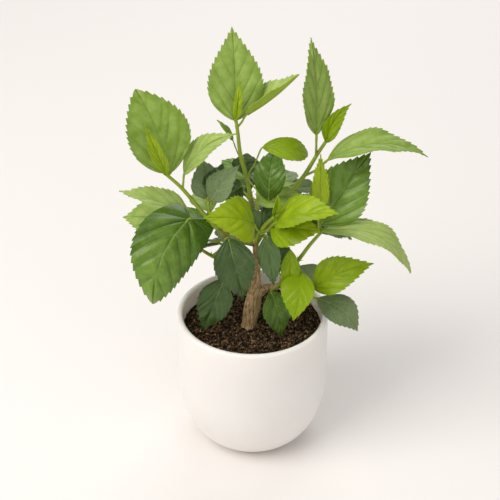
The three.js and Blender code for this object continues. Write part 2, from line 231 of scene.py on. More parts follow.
def leafSkin(name, deep, light, veins, roughness, specular=0.25, netted=0.2, wax=0):
    # Hibiscus leaf skin: waxy, in soft blotches of two greens, paler along the veins and along the
    # fine net between them. The net is drawn a little coarser than the real one, so that it shows.
    # vein, quilt and tone are numbers kept on the mesh; tone differs from leaf to leaf. quilt is high
    # on the puffs between the veins and lightens the green there, a painted highlight, which leaves the
    # hollows along the veins darker, a painted shade.
    material, tree, shader = newFinish(
        name, Roughness=roughness, IOR=1.45, Specular_IOR_Level=specular,
        Specular_Tint=linear("#E6EEB4"), Coat_Weight=wax, Coat_Roughness=0.28,
    )
    where = addNode(tree, "TexCoord").outputs["Object"]
    vein = addNode(tree, "Attribute", {"attribute_name": "vein"}).outputs["Fac"]
    quilt = addNode(tree, "Attribute", {"attribute_name": "quilt"}).outputs["Fac"]
    tone = addNode(tree, "Attribute", {"attribute_name": "tone"}).outputs["Fac"]
    mottle = addNode(tree, "TexNoise", {}, {
        "Vector": where, "Scale": perMetre(7), "Detail": 4.0, "Roughness": 0.6,
    })
    blotch = addNode(tree, "MapRange", {}, {
        "Value": mottle.outputs["Fac"], "From Min": 0.35, "From Max": 0.7, "To Max": 0.4,
    })
    # The soft blotches plus a painted highlight: the green is lighter on each puff and darker towards
    # the veins, as light and shade on the quilting would fall.
    blotchAndPuffHighlight = addNode(tree, "Math", {"operation": "MULTIPLY_ADD"}, {
        0: quilt, 1: 0.22, 2: blotch.outputs[0],
    })
    share = addNode(tree, "Math", {"operation": "ADD", "use_clamp": True}, {
        0: blotchAndPuffHighlight.outputs[0], 1: tone,
    })
    blade = addNode(tree, "Mix", {"data_type": "RGBA"}, {
        0: share.outputs[0], 6: linear(deep), 7: linear(light),
    })
    cells = addNode(tree, "TexVoronoi", {"feature": "DISTANCE_TO_EDGE"}, {
        "Vector": where, "Scale": perMetre(3.2),
    })
    net = addNode(tree, "MapRange", {}, {
        "Value": cells.outputs["Distance"], "From Max": 0.14, "To Min": netted, "To Max": 0.0,
    })
    pale = addNode(tree, "Math", {"operation": "MAXIMUM"}, {0: vein, 1: net.outputs[0]})
    blend = addNode(tree, "Mix", {"data_type": "RGBA"}, {
        0: pale.outputs[0], 6: blade.outputs[2], 7: linear(veins),
    })
    tree.links.new(blend.outputs[2], shader.inputs["Base Color"])
    skin = addNode(tree, "TexNoise", {}, {"Vector": where, "Scale": perMetre(1.6), "Detail": 3.0})
    bump = addNode(tree, "Bump", {}, {
        "Height": skin.outputs["Fac"], "Strength": 0.25, "Distance": 0.25 * mm,
    })
    tree.links.new(bump.outputs["Normal"], shader.inputs["Normal"])
    return material


finishes = {
    "glaze": satinCeramic(),
    "compost": dampCompost("dampCompost", "#0A0602", "#2E2012", 0.95),
    "crumb": dampCompost("compostCrumb", "#150E06", "#775B3C", 0.9, 0.47, 0.6),
    "fleck": dampCompost("barkFleck", "#5E4628", "#B89C72", 0.9),
    "bark": fibrousBark(),
    "shoot": youngShoot("oliveShoot", "#86903A", "#7E6A34", 0.3),
    "stalk": youngShoot("greenStalk", "#8AA02C", "#8A8030", 0.2),
}

# Top and underside of each age of leaf.
leafAges = {
    "young": [
        leafSkin("youngLeafTop", "#7A9600", "#AEC222", "#8CA816", 0.42, 0.35, 0.2, 0.2),
        leafSkin("youngLeafUnder", "#88A016", "#A8BC38", "#B0C24A", 0.55),
    ],
    "fresh": [
        leafSkin("freshLeafTop", "#6C8A2C", "#AABE6C", "#7A9644", 0.42, 0.4),
        leafSkin("freshLeafUnder", "#7E9A1C", "#A0B63E", "#B0C264", 0.56),
    ],
    "mature": [
        leafSkin("matureLeafTop", "#3A5C00", "#7A9C3C", "#90AC58", 0.36, 0.4, 0.08, 0.4),
        leafSkin("matureLeafUnder", "#6A8840", "#88A25E", "#A0B480", 0.58),
    ],
    "dark": [
        leafSkin("darkLeafTop", "#22400E", "#4E6A34", "#6C8850", 0.4, 0.45, 0.12, 0.55),
        leafSkin("darkLeafUnder", "#5A7248", "#768C64", "#8EA080", 0.6),
    ],
    "grey": [
        leafSkin("greyLeafTop", "#6A7E54", "#8A9A72", "#A0AC88", 0.6),
        leafSkin("greyLeafUnder", "#6A7E54", "#8A9A72", "#A0AC88", 0.6),
    ],
}
print("finishes made")


# Tools for making pieces

def finishPiece(name, source, materials, replaced=()):
    mesh = source
    if isinstance(source, bmesh.types.BMesh):
        mesh = bpy.data.meshes.new(name)
        source.to_mesh(mesh)
        source.free()
    mesh.name = name
    for vertex in mesh.vertices:
        vertex.co *= mm
    for material in materials:
        mesh.materials.append(material)
    piece = bpy.data.objects.new(name, mesh)
    scene.collection.objects.link(piece)
    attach(piece, "root")
    if replaced:
        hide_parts(*replaced)
    print("made", name, len(mesh.polygons), "faces")
    return piece


def join(target, part):
    # Adds one small bmesh to a larger one; the small one is freed.
    passing = bpy.data.meshes.new("passing")
    part.to_mesh(passing)
    part.free()
    target.from_mesh(passing)
    bpy.data.meshes.remove(passing)


def heading(turn, rise):
    # Turn runs anticlockwise from +X and rise is above level, in degrees.
    turn, rise = math.radians(turn), math.radians(rise)
    flat = math.cos(rise)
    return Vector((flat * math.cos(turn), flat * math.sin(turn), math.sin(rise)))


def curveThrough(points, samples=40):
    # The source's centripetal curve through the points, as a fine line of points.
    knots = [Vector(p) for p in points]
    knots = [knots[0] * 2 - knots[1]] + knots + [knots[-1] * 2 - knots[-2]]
    line = []
    for i in range(1, len(knots) - 2):
        p0, p1, p2, p3 = knots[i - 1:i + 3]
        d0, d1, d2 = (max((b - a).length, 1e-6) ** 0.5 for a, b in ((p0, p1), (p1, p2), (p2, p3)))
        m1 = ((p1 - p0) / d0 - (p2 - p0) / (d0 + d1) + (p2 - p1) / d1) * d1
        m2 = ((p2 - p1) / d1 - (p3 - p1) / (d1 + d2) + (p3 - p2) / d2) * d1
        square = p2 * 3 - p1 * 3 - m1 * 2 - m2
        cube = p1 * 2 - p2 * 2 + m1 + m2
        for s in range(samples):
            t = s / samples
            line.append(p1 + m1 * t + square * t ** 2 + cube * t ** 3)
    return line + [knots[-2]]


def lengthOf(line):
    return sum((b - a).length for a, b in zip(line, line[1:]))


def pointAt(line, share):
    # The point at a share of the line's length, and the direction there.
    left = share * lengthOf(line)
    for a, b in zip(line, line[1:]):
        step = (b - a).length
        if left <= step:
            return a.lerp(b, left / max(step, 1e-9)), (b - a).normalized()
        left -= step
    return line[-1].copy(), (line[-1] - line[-2]).normalized()


def between(values, share):
    # The value at a share of the way through a list of evenly spread ones.
    place = share * (len(values) - 1)
    first = min(int(place), len(values) - 2)
    return values[first] + (values[first + 1] - values[first]) * (place - first)


def tube(line, radii, sides, rings):
    # A grid rolled round the line and closed at both ends; radii are spread along it.
    stations = []
    across = None
    for i in range(rings + 1):
        point, along = pointAt(line, i / rings)
        if across is None:
            across = along.orthogonal().normalized()
        across = (across - along * across.dot(along)).normalized()
        stations.append((point, across.copy(), along.cross(across)))
    bm = bmesh.new()
    bmesh.ops.create_grid(bm, x_segments=sides, y_segments=rings, size=1)
    for vertex in bm.verts:
        angle = (vertex.co.x + 1) * math.pi
        share = (vertex.co.y + 1) / 2
        point, first, second = stations[round(share * rings)]
        outward = first * math.cos(angle) + second * math.sin(angle)
        vertex.co = point + outward * between(radii, share)
    bmesh.ops.remove_doubles(bm, verts=bm.verts, dist=1e-4)
    bmesh.ops.holes_fill(bm, edges=bm.edges, sides=0)
    bmesh.ops.recalc_face_normals(bm, faces=bm.faces)
    for face in bm.faces:
        face.smooth = len(face.verts) == 4
    return bm


def fused(bm, name, voxel):
    # One skin of small voxels round limbs that run into each other.
    mesh = bpy.data.meshes.new(name + "Rough")
    bm.to_mesh(mesh)
    bm.free()
    rough = bpy.data.objects.new(name + "Rough", mesh)
    scene.collection.objects.link(rough)
    remesh = rough.modifiers.new("skin", "REMESH")
    remesh.mode = "VOXEL"
    remesh.voxel_size = voxel
    solid = bmesh.new()
    solid.from_mesh(rough.evaluated_get(bpy.context.evaluated_depsgraph_get()).data)
    bpy.data.objects.remove(rough)
    bpy.data.meshes.remove(mesh)
    for face in solid.faces:
        face.smooth = True
    return solid


# Pot

pot = {
    "radius": 60,
    "height": 116,
    "wall": 4.8,
    "floor": 6,
    "footRadius": 30,
    "shoulder": 56,  # the side is upright above this height
    "curveSteps": 22,
    "lipSteps": 12,
    "steps": 144,
}


def roundedBottom(radius, foot, low, high):
    # A quarter of an ellipse from the foot out and up to the upright side.
    out, up = radius - foot, high - low
    turns = [i / pot["curveSteps"] * math.pi / 2 for i in range(pot["curveSteps"] + 1)]
    return [(foot + out * math.sin(turn), high - up * math.cos(turn)) for turn in turns]


def spun(profile, steps):
    # Turns a profile of (radius, height) round the upright axis.
    bm = bmesh.new()
    points = [bm.verts.new((radius, 0, height)) for radius, height in profile]
    edges = [bm.edges.new(pair) for pair in zip(points, points[1:])]
    bmesh.ops.spin(
        bm, geom=points + edges, cent=(0, 0, 0), axis=(0, 0, 1), dvec=(0, 0, 0),
        angle=2 * math.pi, steps=steps, use_merge=True,
    )
    bmesh.ops.remove_doubles(bm, verts=bm.verts, dist=1e-3)
    bmesh.ops.recalc_face_normals(bm, faces=bm.faces)
    for face in bm.faces:
        face.smooth = True
    return bm


def makePot():
    inner = pot["radius"] - pot["wall"]
    half = pot["wall"] / 2
    lipMiddle, lipHeight = pot["radius"] - half, pot["height"] - half
    outside = roundedBottom(pot["radius"], pot["footRadius"], 0, pot["shoulder"])
    inside = roundedBottom(inner, pot["footRadius"] - pot["wall"], pot["floor"], pot["shoulder"])
    lip = []
    for i in range(pot["lipSteps"] + 1):
        angle = i / pot["lipSteps"] * math.pi
        lip.append((lipMiddle + math.cos(angle) * half, lipHeight + math.sin(angle) * half))
    profile = [(0, 0), *outside, *lip, *inside[::-1], (0, pot["floor"])]
    finishPiece("glazedPot", spun(profile, pot["steps"]), [finishes["glaze"]], ["pot"])


makePot()


# Compost

compost = {
    "level": 102.5,
    "clearance": 0.3,
    "patch": 13,  # level ground round the stem
    "swell": 1.6,
    "waves": (9, 11),  # size of the swells along x and y
    "dip": 0.6,  # share of the swell by which the rest lies lower
    "mound": {"place": (4, -5), "height": 2.2, "reach": 6},  # against the right side of the trunk
    "rings": 70,
    "steps": 180,
    "lump": 1.14,  # height of the lumps
    "lumpSize": 3.2,
    "crumbs": {"count": 4600, "sizes": (0.6, 1.9), "slim": (0.8, 1.5)},  # slim: length over width
    "flecks": {"count": 1500, "sizes": (0.35, 1.05), "slim": (1.0, 2.4)},
    "fewLarge": 2.2,  # higher makes large crumbs rarer
    "flat": (0.55, 1),  # depth over width
    "rough": 0.28,  # share by which each corner is pushed in or out
    "proud": 0.25,  # share of its size by which a crumb's middle lies over the bed
    "margin": 1.5,  # from the wall
    "seed": 4,
}


def compostHeight(x, y):
    inner = pot["radius"] - pot["wall"] - compost["clearance"]
    share = min(max((math.hypot(x, y) - compost["patch"]) / (inner - compost["patch"]), 0), 1)
    edge = share * share * (3 - 2 * share)
    wave = math.sin(x / compost["waves"][0]) * math.cos(y / compost["waves"][1]) - compost["dip"]
    here = Vector((x, y, 0)) / compost["lumpSize"]
    lumps = noise.fractal(here, 0.8, 2.1, 4)  # increment, lacunarity, octaves
    mound = compost["mound"]
    off = math.hypot(x - mound["place"][0], y - mound["place"][1]) / mound["reach"]
    heap = mound["height"] * math.exp(-off * off)
    return compost["level"] + edge * compost["swell"] * wave + lumps * compost["lump"] + heap


def makeCompostBed():
    inner = pot["radius"] - pot["wall"] - compost["clearance"]
    low = pot["floor"] + compost["clearance"]
    profile = [(0, low), *roundedBottom(inner, pot["footRadius"] - pot["wall"], low, pot["shoulder"])]
    for i in range(compost["rings"] + 1):
        profile.append((inner * (1 - i / compost["rings"]), compost["level"]))
    bm = spun(profile, compost["steps"])
    for vertex in bm.verts:
        if vertex.co.z > pot["shoulder"] + 1:
            vertex.co.z = compostHeight(vertex.co.x, vertex.co.y)
    finishPiece("compostBed", bm, [finishes["compost"]], ["soil"])


def scattered(name, rule, material, dealer):
    # Copies of one rough lump, dealt over the compost as one joined mesh.
    lump = bmesh.new()
    bmesh.ops.create_icosphere(lump, subdivisions=1, radius=1)
    corners = np.array([vertex.co[:] for vertex in lump.verts])
    faces = np.array([[v.index for v in face.verts] for face in lump.faces])
    lump.free()
    reach = pot["radius"] - pot["wall"] - compost["margin"]
    least, most = rule["sizes"]
    allCorners, allFaces = [], []
    for i in range(rule["count"]):
        away = math.sqrt(dealer.random()) * reach
        angle = dealer.uniform(0, 2 * math.pi)
        x, y = away * math.cos(angle), away * math.sin(angle)
        size = least + (most - least) * dealer.random() ** compost["fewLarge"]
        length, depth = size * dealer.uniform(*rule["slim"]), size * dealer.uniform(*compost["flat"])
        dents = np.array([[dealer.uniform(-1, 1)] for corner in corners])
        rough = corners * (1 + compost["rough"] * dents)
        spin = Quaternion(Vector([dealer.gauss(0, 1) for axis in range(4)])).normalized().to_matrix()
        middle = np.array([x, y, compostHeight(x, y) + size * compost["proud"]])
        placed = (rough * np.array([length, size, depth])) @ np.array(spin).T + middle
        allFaces.append(faces + i * len(corners))
        allCorners.append(placed)
    mesh = bpy.data.meshes.new(name)
    mesh.from_pydata(np.concatenate(allCorners).tolist(), [], np.concatenate(allFaces).tolist())
    finishPiece(name, mesh, [material])


makeCompostBed()
dealer = random.Random(compost["seed"])
scattered("compostCrumbs", compost["crumbs"], finishes["crumb"], dealer)
scattered("compostFlecks", compost["flecks"], finishes["fleck"], dealer)


# Trunk and boughs

wood = {
    "trunk": {
        "path": [[-3.2, -4.5, 96], [-2.6, -3.2, 108], [0.1, -1.5, 122], [2, -0.4, 134], [3.4, 0, 145]],
        "radii": [5.6, 5.8, 6.7, 5.8, 3.2],
    },
    "leader": {"path": [[3.2, 0, 139], [3, 0, 160], [2, 0, 184]], "radii": [3.4, 2.6, 2.3]},
    "lowRight": {"path": [[3, 0, 131], [12, -2, 139.3], [20, -4, 141.5]], "radii": [4.2, 3.1, 2.7]},
    "sides": 36,
    "fibre": {"depth": 0.2, "across": 1.1, "along": 4.2},
    "knots": {"depth": 0.35, "size": 6},
    "smooth": {"from": 150, "over": 40, "least": 0.35},  # the relief grows weaker up the leader
    "skin": 0.42,  # edge of one voxel
    "sinks": 101,  # the trunk is cut here, just inside the compost
}

greenBoughs = {
    "left": {"path": [[2, 0, 178], [-17, -5, 187], [-26, -6, 195]], "radii": [2.2, 1.9]},
    "centre": {"path": [[2, 0, 180], [1, 1, 202], [-1, 2, 216]], "radii": [2.2, 2.0]},
    "right": {"path": [[2, 0, 178], [10, 2, 191], [28, 6, 220]], "radii": [2.2, 1.9]},
    "sides": 20,
    "skin": 0.34,
}

ringEvery = 1.5  # length of one ring of a limb's tube


def limb(rule, sides):
    line = curveThrough(rule["path"])
    return tube(line, rule["radii"], sides, max(round(lengthOf(line) / ringEvery), 6))


def smoothed(solid):
    # Melts the steps that the voxels leave.
    bmesh.ops.smooth_vert(
        solid, verts=solid.verts, factor=0.5, use_axis_x=True, use_axis_y=True, use_axis_z=True,
    )
    return solid


def makeWood():
    bm = bmesh.new()
    for name in ("trunk", "leader", "lowRight"):
        join(bm, limb(wood[name], wood["sides"]))
    solid = smoothed(fused(bm, "bark", wood["skin"]))
    cut = bmesh.ops.bisect_plane(
        solid, geom=solid.verts[:] + solid.edges[:] + solid.faces[:],
        plane_co=(0, 0, wood["sinks"]), plane_no=(0, 0, -1), clear_outer=True,
    )
    rim = [edge for edge in cut["geom_cut"] if isinstance(edge, bmesh.types.BMEdge)]
    bmesh.ops.holes_fill(solid, edges=rim, sides=0)
    solid.normal_update()
    fibre, knots, smooth = wood["fibre"], wood["knots"], wood["smooth"]
    for vertex in solid.verts:
        x, y, z = vertex.co
        strands = Vector((x / fibre["across"], y / fibre["across"], z / fibre["along"]))
        relief = noise.fractal(strands, 0.7, 2, 3) * fibre["depth"]  # increment, lacunarity, octaves
        relief += noise.noise(vertex.co / knots["size"]) * knots["depth"]
        strength = min(max(smooth["least"], 1 - (z - smooth["from"]) / smooth["over"]), 1)
        vertex.co += vertex.normal * relief * strength
    nodes = ["trunk", "bough_leader", "bough_low_right"]
    finishPiece("barkWood", solid, [finishes["bark"]], nodes)


def makeGreenBoughs():
    bm = bmesh.new()
    for name in ("left", "centre", "right"):
        join(bm, limb(greenBoughs[name], greenBoughs["sides"]))
    solid = smoothed(fused(bm, "boughs", greenBoughs["skin"]))
    nodes = ["bough_left", "bough_centre", "bough_right"]
    finishPiece("greenBoughs", solid, [finishes["shoot"]], nodes)


makeWood()
makeGreenBoughs()


# Shoots and their leaves
# These are the source's rows, with each leaf's age added. A leaf is: age; how far along its stem;
# stalk (length, turn, rise); blade (length, width); aim (turn, rise, roll about its midrib); bow
# (lift, sideways sweep) of the midrib; lift of each half in degrees; and where they differ from
# the rest, its form (a row of leafForms), its tone, how much paler its tip is, and its quilt.

shoots = {
    "foliage_left": [
        {
            "path": [[-26, -6, 195], [-35, -8, 208], [-53, -11, 235], [-63, -12, 246]],
            "leaves": [
                ("fresh", 1, (4, 42, -5), (66, 46), (142, 62, -40), (4, -3), 8, {"form": "broad"}),
                ("young", 1, (2, 295, 27), (45, 12), (199, 71, -105), (2, 0), 20),
                ("fresh", 0.73, (11, 67, 72), (50, 20), (3, 40, 35), (4, 5), 15, {"tone": 0.35}),
                ("fresh", 0.15, (16, 162, -4), (58, 27), (171, 20, -10), (5, 0), 15, {"tone": 0.4}),
                # This heart leaf's green runs from deep at its stalk to pale at its tip: a painted
                # sheen on its hanging lower part.
                ("mature", 0.06, (23, 201, 29), (69, 52), (233, -49, -45), (13, -10), -15,
                 {"form": "heart", "tone": -0.65, "paleTip": 1.05, "quilt": 0.034}),
                ("fresh", 0.16, (22, 152, -16), (54, 34), (160, -8, -40), (4, 0), 8, {"tone": 0.2}),
            ],
        },
        {
            "path": [[-31, -7, 202], [-33, -5, 212], [-33, -4, 219]],
            "leaves": [
                ("grey", 1, (3, 105, -11), (31, 27), (112, 63, -7), (3, -2), 10),
                ("dark", 1, (4, 75, 14), (27, 20), (52, 55, 41), (3, 0), 8),
                ("grey", 1, (3, 309, 30), (36, 22), (5, 53, 50), (4, 0), 12, {"tone": -0.4}),
            ],
        },
    ],
    "foliage_centre": [
        {
            "path": [[-1, 2, 216], [-5, 3, 237], [-9, 3, 254], [-11, 2, 274], [-12, 1, 282]],
            "leaves": [
                ("fresh", 1, (1, 180, 63), (67, 40), (96, 69, -4), (3, -1), 6, {"tone": 0.05}),
                ("fresh", 0.93, (12, 360, 57), (49, 26), (2, 40, 0), (-2, 0), 45, {"tone": 0.45}),
                ("young", 1, (2, 264, 68), (32, 7), (317, 82, 130), (1, 0), 15),
                ("fresh", 0.5, (17, 152, 64), (20, 7), (174, 55, -20), (1, 0), 15),
                ("grey", 0.45, (7, 87, 27), (20, 15), (57, -46, 138), (2, 0), 10),
                ("dark", 0.3, (5, 99, -10), (17, 22), (84, 42, 6), (2, 0), 10),
                ("mature", 0.3, (25, 317, -27), (36, 24), (75, 64, 4), (13, -1), 10,
                 {"form": "blunt", "tone": -0.3}),
                ("young", 0.3, (26, 18, 61), (36, 19), (12, -16, 38), (9, -3), 8,
                 {"form": "blunt", "tone": -0.8}),
                ("dark", 0.17, (8, 131, -18), (21, 22), (158, -42, -79), (2, 0), 10),
                ("fresh", 0.07, (6, 323, -26), (42, 17), (342, 13, 40), (3, 0), 10),
            ],
        },
    ],
    "foliage_right": [
        {
            "path": [[28, 6, 220], [38, 8, 233], [48, 10, 251], [54, 11, 261]],
            "leaves": [
                ("fresh", 0.72, (19, 262, 83), (72, 28), (109, 77, 17), (3, 0), 10),
                ("young", 1, (1, 302, -48), (36, 14), (0, 62, 90), (0, 4), 20, {"tone": -0.3}),
                ("fresh", 0.35, (23, 346, 42), (74, 29), (357, 4, 10), (14, 0), 15),
                ("grey", 0.08, (8, 75, -30), (20, 15), (12, -8, 15), (3, 0), 10),
            ],
        },
    ],
    "foliage_front": [
        {
            "path": [[3, -1, 180], [5, -5, 190], [9, -13, 203], [16, -22, 216]],
            "leaves": [
                ("young", 0.35, (18, 246, 47), (52, 35), (219, 27, -50), (7, 0), 6),
                ("young", 0.35, (25, 305, 43), (57, 33), (330, 24, 22), (5, 0), 18, {"tone": 0}),
                ("young", 0.25, (20, 305, 42), (42, 32), (332, 12, 45), (4, 0), 8, {"tone": -0.1}),
                ("young", 1, (1, 249, 73), (18, 8), (0, 83, 114), (1, 0), 30),
                ("dark", 0.15, (12, 313, 35), (43, 18), (318, -80, 56), (3, 0), 8, {"tone": 0.5}),
                ("dark", 0.3, (5, 269, 50), (25, 22), (178, 58, -75), (2, 0), 8),
                ("dark", 0.3, (10, 41, 72), (20, 13), (350, 56, 60), (2, 0), 8),
            ],
        },
    ],
    "foliage_low_left": [
        {
            "path": [[3, 0, 156], [-14, -5, 163], [-30, -8, 172], [-40, -11, 181]],
            "leaves": [
                ("dark", 1, (2, 127, 43), (12, 12), (66, 50, 22), (1, 0), 10),
                ("dark", 0.75, (24, 337, 56), (54, 32), (328, -76, 51), (3, 0), 10),
                ("dark", 0.48, (13, 244, -63), (48, 27), (199, -67, -61), (4, 0), 10),
            ],
        },
    ],
    "foliage_low_right": [
        {
            "path": [[20, -4, 141.5], [29, -5, 158], [36, -6, 169], [44, -6, 182], [52, -6, 193]],
            "leaves": [
                ("fresh", 1, (3, 304, 42), (76, 26), (355, -27, 12), (19, 0), 12,
                 {"form": "broad", "tone": 0.65}),
                ("young", 0.48, (9, 287, -39), (38, 29), (256, -51, 11), (6, 4), 20, {"tone": -0.4}),
                ("young", 0.48, (16, 226, 58), (42, 15), (270, -87, 0), (2, 0), 10, {"tone": -0.3}),
                ("young", 0.43, (23, 326, -46), (51, 28), (0, 26, 50), (9, 2), 8, {"tone": -0.2}),
                ("grey", 0.43, (12, 71, -44), (38, 24), (45, -51, 102), (4, 0), 10),
                ("mature", 0.97, (7, 77, 66), (66, 44), (26, 52, 48), (2, 1), 10,
                 {"tone": 0.85, "paleTip": -0.9}),
                ("young", 0.95, (18, 242, 83), (52, 14), (180, 90, 70), (2, 0), 15),
                ("dark", 0.15, (6, 140, 30), (34, 26), (110, 42, 0), (3, 0), 8),
                ("grey", 0.03, (32, 357, -21), (42, 24), (345, -38, 60), (12, 6), 10, {"tone": -0.35}),
                ("mature", 0.1, (13, 224, -16), (38, 27), (310, -70, 5), (3, 0), 8, {"tone": -0.25}),
            ],
        },
    ],
    "foliage_back_left": [
        {
            "path": [[2, 1, 162], [-12, 16, 166], [-24, 32, 170], [-32, 46, 174]],
            "sprouts": {
                "count": 8, "seed": 11, "from": 0.35, "to": 1,
                "toward": 130, "spread": 75, "rise": (-50, -5),
            },
            "leaves": [],
        },
    ],
    "foliage_back_right": [
        {
            "path": [[3, 1, 160], [13, 16, 168], [26, 38, 174], [36, 56, 178]],
            "sprouts": {
                "count": 7, "seed": 5, "from": 0.5, "to": 1,
                "toward": 65, "spread": 85, "rise": (-40, 5),
            },
            "leaves": [],
        },
    ],
    "foliage_back_upper": [
        {
            "path": [[2, 1, 181], [3, 12, 191], [4, 26, 198], [4, 40, 203]],
            "sprouts": {
                "count": 6, "seed": 8, "from": 0.6, "to": 1,
                "toward": 100, "spread": 70, "rise": (-18, 0),
            },
            "leaves": [],
        },
    ],
}

sprout = {
    "oldest": 58,
    "youngest": 34,
    "slimness": 0.58,
    "stalk": 0.3,
    "stalkRise": 15,
    "arch": 9,  # length over the lift of its bow
    "fold": 10,
    "jitter": 9,
    "golden": 0.618,  # step from leaf to leaf round the shoot
    "ages": ["dark", "mature", "dark", "mature", "dark", "mature", "fresh", "mature"],
}

# Where a blade is widest, how full it is towards base and tip, how far its lobes reach back, and
# how far along the edge the strong first pair of veins ends.
leafForms = {
    "ovate": {"widestAt": 0.36, "baseFullness": 0.7, "tipTaper": 1.2, "lobe": 0, "firstVein": 0.5},
    "broad": {"widestAt": 0.44, "baseFullness": 0.62, "tipTaper": 0.85, "lobe": 0, "firstVein": 0.62},
    "heart": {"widestAt": 0.36, "baseFullness": 0.42, "tipTaper": 0.8, "lobe": 0.35, "firstVein": 0.5},
    "blunt": {"widestAt": 0.5, "baseFullness": 0.6, "tipTaper": 0.6, "lobe": 0, "firstVein": 0.55},
}

leafShape = {
    "neck": 0.5,  # least half width at the base, and at the tip
    "point": 0.12,
    "thickness": 0.42,
    "columns": 14,
    "fewColumns": 10,  # on a blade that is no longer than small
    "small": 30,
    "crowding": 1.6,  # higher puts more columns near the midrib
    "toothEvery": 4.2,  # spacing of the teeth along the edge
    "fewestTeeth": 5,
    "toothDepth": 1.35,  # on a blade as long as full
    "full": 60,
    "toothRows": (0, 0.36, 0.72, 0.9),  # rows of the mesh within one tooth
    "toothMiddle": 0.4,  # the row that keeps the outline
    "toothLean": 0.25,  # share of its spacing by which a tooth leans forward
    "toothFrom": 0.24,  # the teeth start here, over a share of the edge, and end short of the tip
    "toothStart": 0.1,
    "toothEnd": 0.06,
    "veinRoot": 0.04,  # the first pair of veins leaves the midrib here
    "veinArch": 1.3,  # higher curves the veins more towards the tip
    # Where each vein meets the edge, as a share of the way before or after the first pair's end,
    # and its strength.
    "veins": ((-0.45, 0.2), (0, 0.5), (0.28, 0.4), (0.54, 0.32), (0.77, 0.22)),
    "veinFade": 0.6,  # towards the edge
    "midrib": 0.95,
    "midribFade": 0.35,  # towards the tip
    "groove": 0.25,  # depth of the midrib below the blade
    "ripple": 0.012,  # height as a share of the length, and number of waves along the edge
    "ripples": 2.6,
    "bulge": 0.7,  # height and size of the uneven puffing, and how far it differs from leaf to leaf
    "bulgeSize": 9,
    "bulgeShift": 400,
}

# Height of the puffing between two veins, as a share of the blade's length.
leafQuilts = {"young": 0.013, "fresh": 0.011, "mature": 0.02, "dark": 0.016, "grey": 0.008}

twigs = {
    "tip": 1.25,
    "base": 1.9,
    "sides": 12,
    "ringEvery": 2.2,
    "bud": {"ends": (2, 5), "radii": (1.25, 1.3, 0.9, 0.15)},  # the shoot's pointed end
    "stalkRadius": 0.85,  # for a blade as long as stalkFor
    "stalkFor": 50,
    "stalkRange": (0.6, 1.1),
    "stalkTaper": (1.25, 1, 0.9, 1.1, 0.7),  # shares of the radius from the stem into the blade
    "stalkSides": 10,
    "sag": 0.08,  # share of its length by which a stalk hangs at its middle
    "sunk": 0.06,  # how far up the blade the stalk ends
    "rib": {"ends": (0.02, 0.3, 0.6, 0.86), "radii": (0.5, 0.3, 0.12), "below": 0.55},
    "stipule": {"length": 3.4, "radii": (0.42, 0.3, 0.06), "out": 1.1, "lift": 0.6, "bend": 0.3},
    "seed": 31,
}


def seededNumbers(seed):
    # The source's own run of random numbers from one seed.
    state = seed
    cut = 0xFFFFFFFF
    while True:
        state = (state + 0x6D2B79F5) & cut
        t = ((state ^ (state >> 15)) * (state | 1)) & cut
        t ^= (t + (((t ^ (t >> 7)) * (t | 61)) & cut)) & cut
        yield ((t ^ (t >> 14)) & cut) / 4294967296


def sproutsOf(rule):
    # Leaves by rule, from the oldest near the stem to the youngest at the shoot's end.
    numbers = seededNumbers(rule["seed"])
    next(numbers)

    def jitter():
        return (next(numbers) * 2 - 1) * sprout["jitter"]

    leaves = []
    for index in range(rule["count"]):
        t = index / (rule["count"] - 1)
        swing = (((index + 1) * sprout["golden"]) % 1) * 2 - 1
        turn = rule["toward"] + rule["spread"] * swing + jitter()
        rise = rule["rise"][0] + (rule["rise"][1] - rule["rise"][0]) * t + jitter()
        length = sprout["oldest"] + (sprout["youngest"] - sprout["oldest"]) * t + jitter() / 2
        at = rule["from"] + (rule["to"] - rule["from"]) * t
        stalk = (length * sprout["stalk"], turn, rise / 2 + sprout["stalkRise"])
        roll = jitter() * 2
        age = sprout["ages"][round(t * (len(sprout["ages"]) - 1))]
        blade = (length, length * sprout["slimness"])
        bow = (length / sprout["arch"], 0)
        leaves.append((age, at, stalk, blade, (turn, rise, roll), bow, sprout["fold"]))
    return leaves


def bladeAxes(aim):
    # Along the midrib, up from the upper face, and across to the side.
    turn, rise, roll = aim
    along = heading(turn, rise)
    up = Quaternion(along, math.radians(roll)) @ heading(turn, rise + 90)
    return along, up, up.cross(along)


def midribAt(base, blade, bow, axes, t):
    # The bowed midrib's point at t, from 0 at the base to 1 at the tip.
    along, up, side = axes
    arch = 4 * t * (1 - t)
    return base + along * (t * blade[0]) + up * (bow[0] * arch) + side * (bow[1] * arch)


def fullness(t, form):
    # Share of the full half width at t, from 0 at the base to 1 at the tip.
    inner = t < form["widestAt"]
    angle = t / form["widestAt"] if inner else 1 - (t - form["widestAt"]) / (1 - form["widestAt"])
    return max(math.sin(angle * math.pi / 2), 0) ** form["baseFullness" if inner else "tipTaper"]


def veinRoot(edge, reach):
    # How far up the midrib the vein starts that meets the edge at this share of the length.
    root = leafShape["veinRoot"]
    if edge < reach:
        return root * (edge / reach) ** 1.5
    return root + (1 - root) * ((edge - reach) / (1 - reach)) ** 1.15


def veinEnd(place, reach):
    # Where a vein of leafShape meets the edge, as a share of the blade's length.
    return reach * (1 + place) if place < 0 else reach + (1 - reach) * place


